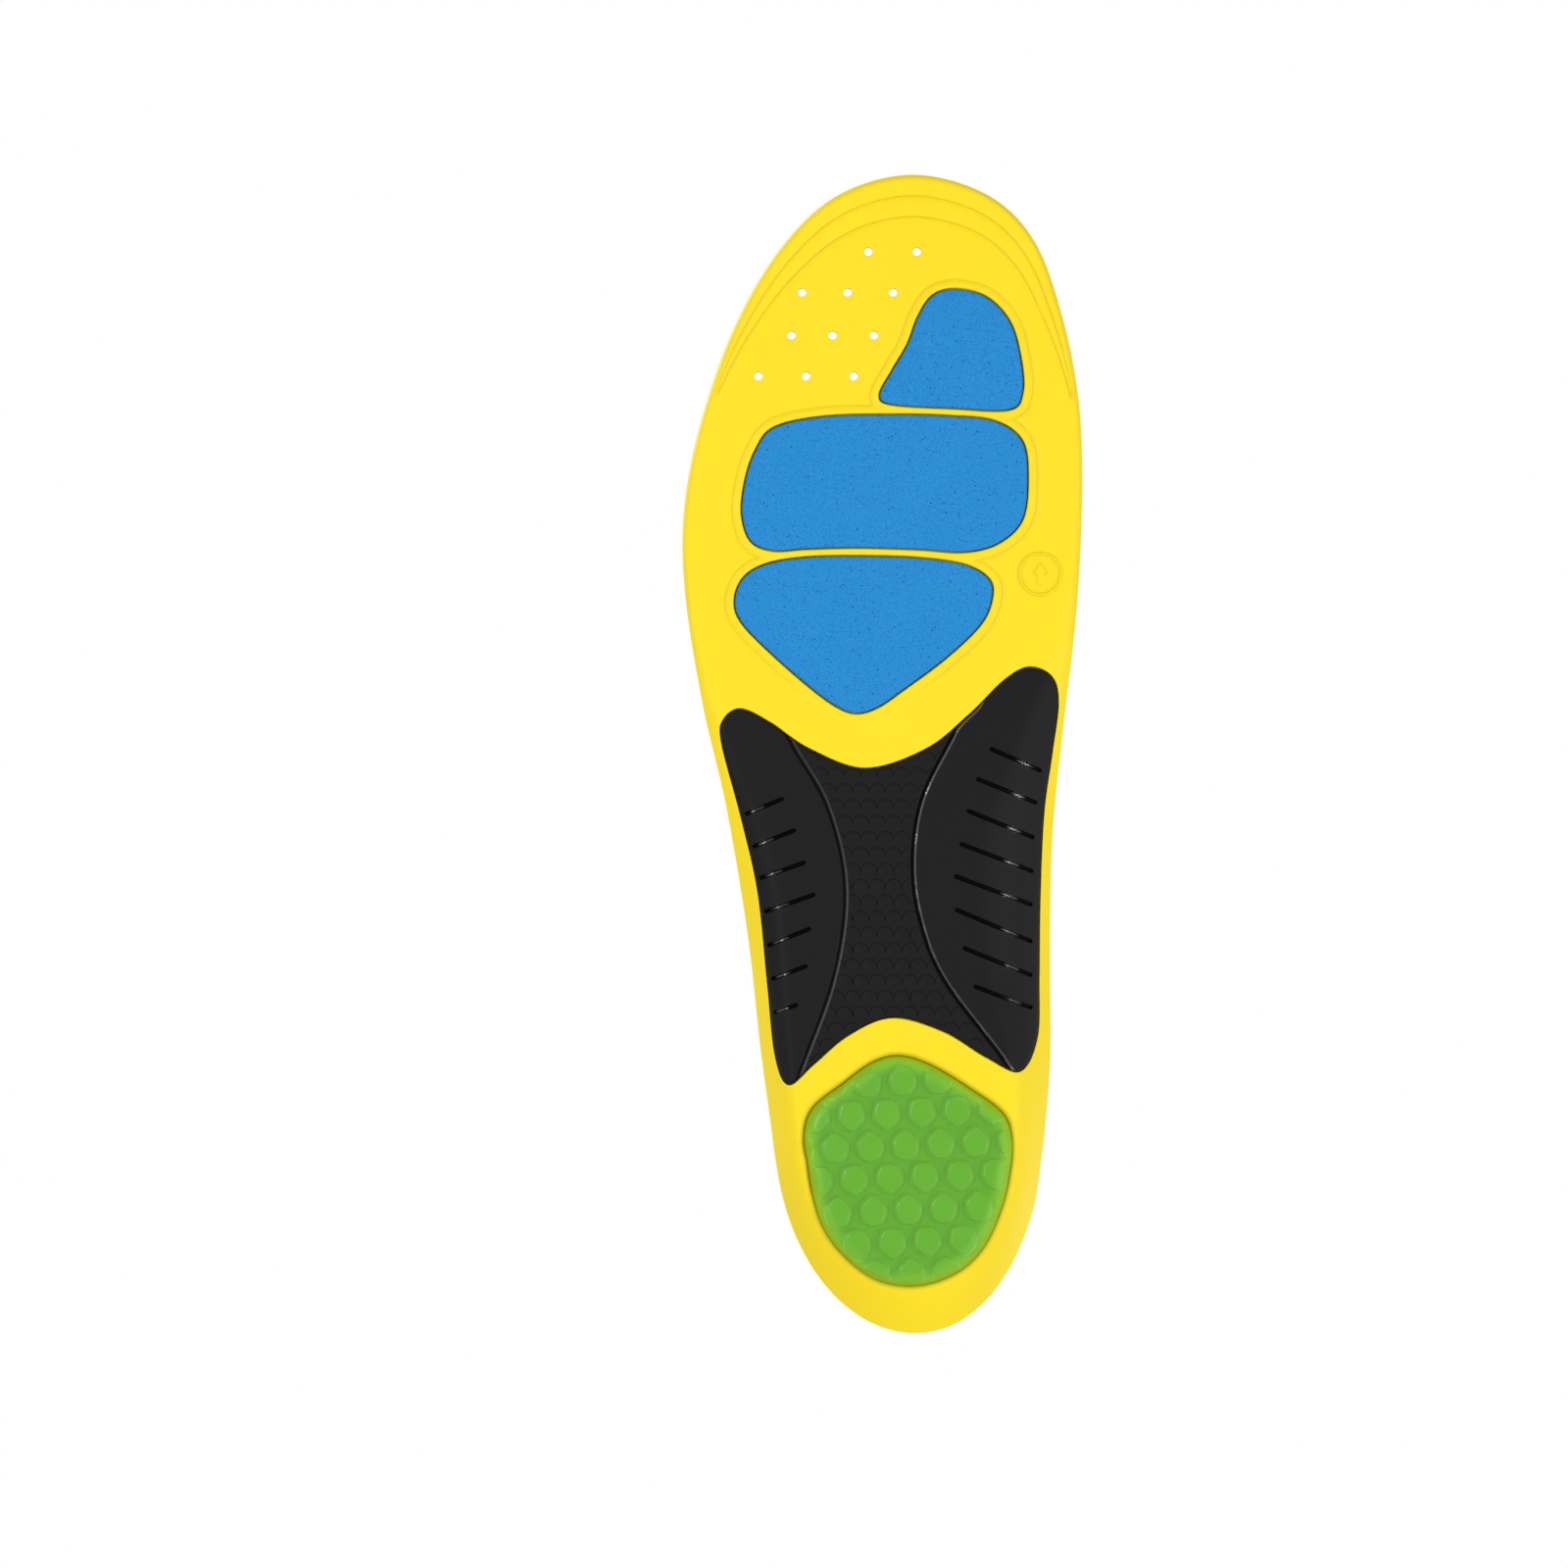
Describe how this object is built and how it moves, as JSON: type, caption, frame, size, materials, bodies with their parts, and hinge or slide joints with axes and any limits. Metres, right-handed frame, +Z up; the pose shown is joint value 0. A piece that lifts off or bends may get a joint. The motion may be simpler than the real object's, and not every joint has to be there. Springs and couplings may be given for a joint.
{
  "type": "cushioned insole",
  "caption": "Full-length right shoe insole: knitted cover on a foam base with a heel cup, foam forefoot pads, a moulded arch shell and a gel heel pad.",
  "frame": {"origin": "on the ground, under the middle of the outline's box", "axes": "+X medial (big toe side), -Y towards the toe, +Y towards the heel, +Z up to the foot"},
  "size_m": [0.093, 0.27, 0.0198],
  "materials": {
    "cover_knit": "printed knit, orange at the toe to blue at the heel",
    "film": "thin milky film",
    "base_foam": "smooth moulded skin of soft foam",
    "pad_foam": "fine-pored foam",
    "tape": "thin adhesive tape",
    "shell_plastic": "satin, textured in the middle",
    "heel_gel": "translucent soft gel"
  },
  "bodies": {
    "root": {"top_cover": "cover_knit", "barrier_film": "film", "foam_base": "base_foam", "toe_pad": "pad_foam", "toe_pad_tape": "tape", "ball_pad": "pad_foam", "ball_pad_tape": "tape", "metatarsal_pad": "pad_foam", "metatarsal_pad_tape": "tape", "arch_shell": "shell_plastic", "heel_gel_pad": "heel_gel", "heel_gel_tape": "tape"}
  },
  "joints": []
}
